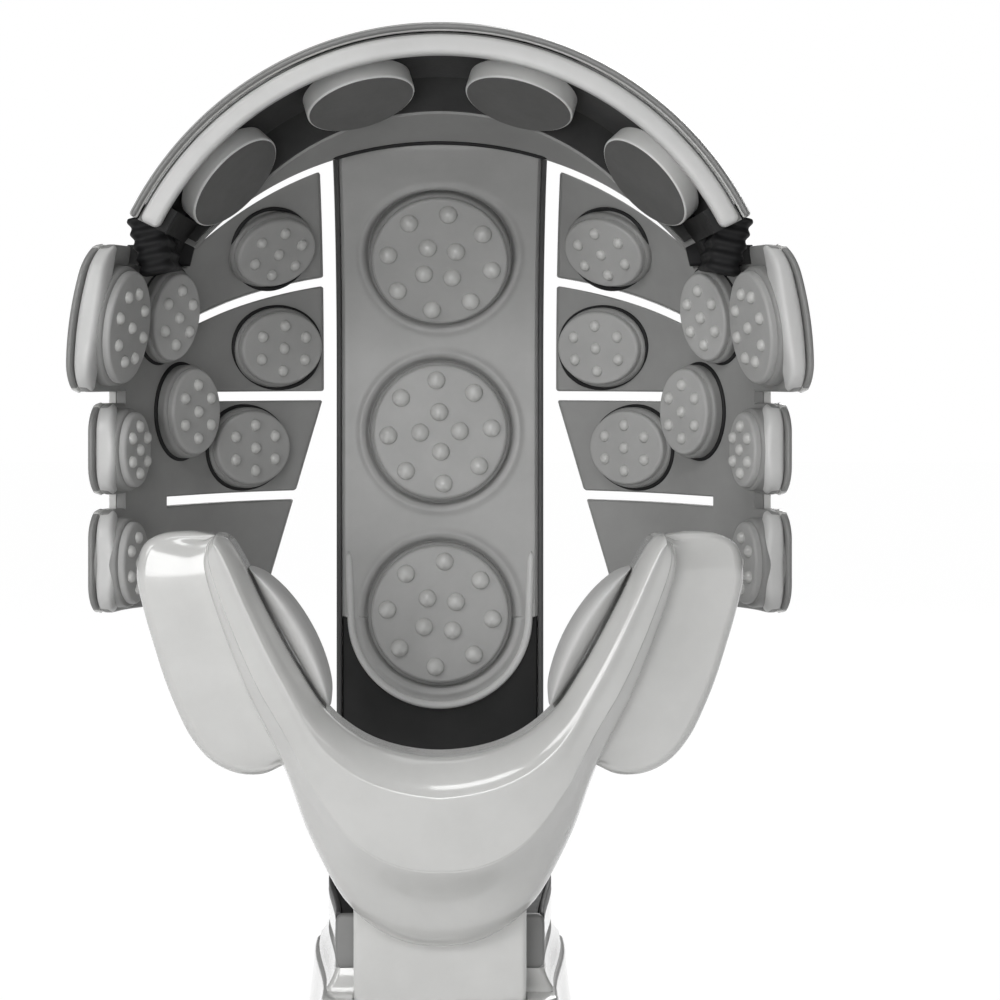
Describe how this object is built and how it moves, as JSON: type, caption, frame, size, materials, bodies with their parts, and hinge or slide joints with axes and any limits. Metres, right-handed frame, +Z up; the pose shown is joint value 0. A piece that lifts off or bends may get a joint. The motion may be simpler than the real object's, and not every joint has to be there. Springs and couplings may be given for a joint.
{
  "type": "electric scalp massager",
  "caption": "Free-standing helmet-shaped electric scalp massager with nubbed kneading pads on a strap and sprung side panels, a neck yoke on a sliding stem, and a weighted round base.",
  "frame": {"origin": "middle of the rubber foot's underside, on the surface it stands on", "axes": "+Z up; -Y out of the cap's open front, where the head goes in; +X to the right as seen from the front"},
  "size_m": [0.2196, 0.1809, 0.3385],
  "materials": {
    "gloss_white": "glossy moulded shell",
    "liner_grey": "satin moulded liner",
    "rim_grey": "satin rim",
    "dark_grey": "satin panel",
    "silicone_grey": "soft matt silicone",
    "cup_grey": "satin pad cup",
    "smooth_pad": "smooth matt pad",
    "neck_cushion": "soft matt cushion",
    "panel_black": "gloss panel",
    "button_grey": "satin key",
    "steel": "zinc plated",
    "motor_steel": "drawn can",
    "iron": "as cast",
    "foot_rubber": "matt rubber",
    "board_green": "solder mask",
    "battery_wrap": "shrink wrap"
  },
  "bodies": {
    "stand": {"base_shell": "gloss_white", "base_plate": "dark_grey", "rubber_foot": "foot_rubber", "base_screws": "steel", "base_weight": "iron", "battery_pack": "battery_wrap", "charging_board": "board_green", "charging_socket": "steel", "tail_flange": "gloss_white", "tail_skin": "gloss_white", "nape_panel": "dark_grey", "spine_skin": "gloss_white", "strap": "liner_grey", "control_panel": "panel_black", "control_board": "board_green", "key_switches": "motor_steel", "crown_liner": "liner_grey", "crown_skin": "gloss_white", "crown_rim": "rim_grey", "left_crown_end": "rim_grey", "right_crown_end": "rim_grey", "left_hinge_pin": "steel", "right_hinge_pin": "steel", "crown_pad_cups": "cup_grey", "crown_pad_faces": "smooth_pad"},
    "neck_yoke": {"yoke_front": "gloss_white", "yoke_back": "gloss_white", "stem": "gloss_white", "left_wing": "gloss_white", "right_wing": "gloss_white", "left_neck_pad": "neck_cushion", "right_neck_pad": "neck_cushion"},
    "left_side": {"left_side_liner": "liner_grey", "left_side_skin": "gloss_white", "left_knuckle": "rim_grey", "left_pad_cups": "cup_grey", "left_pad_faces": "silicone_grey"},
    "right_side": {"right_side_liner": "liner_grey", "right_side_skin": "gloss_white", "right_knuckle": "rim_grey", "right_pad_cups": "cup_grey", "right_pad_faces": "silicone_grey"},
    "upper_pad": {"upper_pad_face": "silicone_grey", "upper_pad_carrier": "cup_grey", "upper_pad_motor": "motor_steel"},
    "middle_pad": {"middle_pad_face": "silicone_grey", "middle_pad_carrier": "cup_grey", "middle_pad_motor": "motor_steel"},
    "lower_pad": {"lower_pad_face": "silicone_grey", "lower_pad_carrier": "cup_grey", "lower_pad_motor": "motor_steel"},
    "power_key": {"power_button": "button_grey"},
    "mode_key": {"mode_button": "button_grey"},
    "heat_key": {"heat_button": "button_grey"}
  },
  "joints": [
    {"name": "yoke_slide", "type": "slide", "parent": "stand", "child": "neck_yoke", "axis": [0, 0, 1], "range_m": [-0.012, 0]},
    {"name": "left_spread", "type": "hinge", "parent": "stand", "child": "left_side", "pos_m": [-0.08765, 0.006, 0.27293], "axis": [0, 1, 0], "range_deg": [0, 4], "stiffness_Nm_per_rad": 0.8, "springref_deg": -5.73},
    {"name": "right_spread", "type": "hinge", "parent": "stand", "child": "right_side", "pos_m": [0.08765, 0.006, 0.27293], "axis": [0, -1, 0], "range_deg": [0, 4], "stiffness_Nm_per_rad": 0.8, "springref_deg": -5.73},
    {"name": "upper_pad_press", "type": "slide", "parent": "stand", "child": "upper_pad", "axis": [0, 0.9026, 0.4305], "range_m": [0, 0.002], "stiffness_N_per_m": 900, "springref_m": -0.002},
    {"name": "middle_pad_press", "type": "slide", "parent": "stand", "child": "middle_pad", "axis": [0, 1, 0], "range_m": [0, 0.002], "stiffness_N_per_m": 900, "springref_m": -0.002},
    {"name": "lower_pad_press", "type": "slide", "parent": "stand", "child": "lower_pad", "axis": [0, 1, 0], "range_m": [0, 0.002], "stiffness_N_per_m": 900, "springref_m": -0.002},
    {"name": "power_press", "type": "slide", "parent": "stand", "child": "power_key", "axis": [0, -1, 0], "range_m": [0, 0.0008], "stiffness_N_per_m": 600, "springref_m": -0.001},
    {"name": "mode_press", "type": "slide", "parent": "stand", "child": "mode_key", "axis": [0, -1, 0], "range_m": [0, 0.0008], "stiffness_N_per_m": 600, "springref_m": -0.001},
    {"name": "heat_press", "type": "slide", "parent": "stand", "child": "heat_key", "axis": [0, -1, 0], "range_m": [0, 0.0008], "stiffness_N_per_m": 600, "springref_m": -0.001}
  ]
}
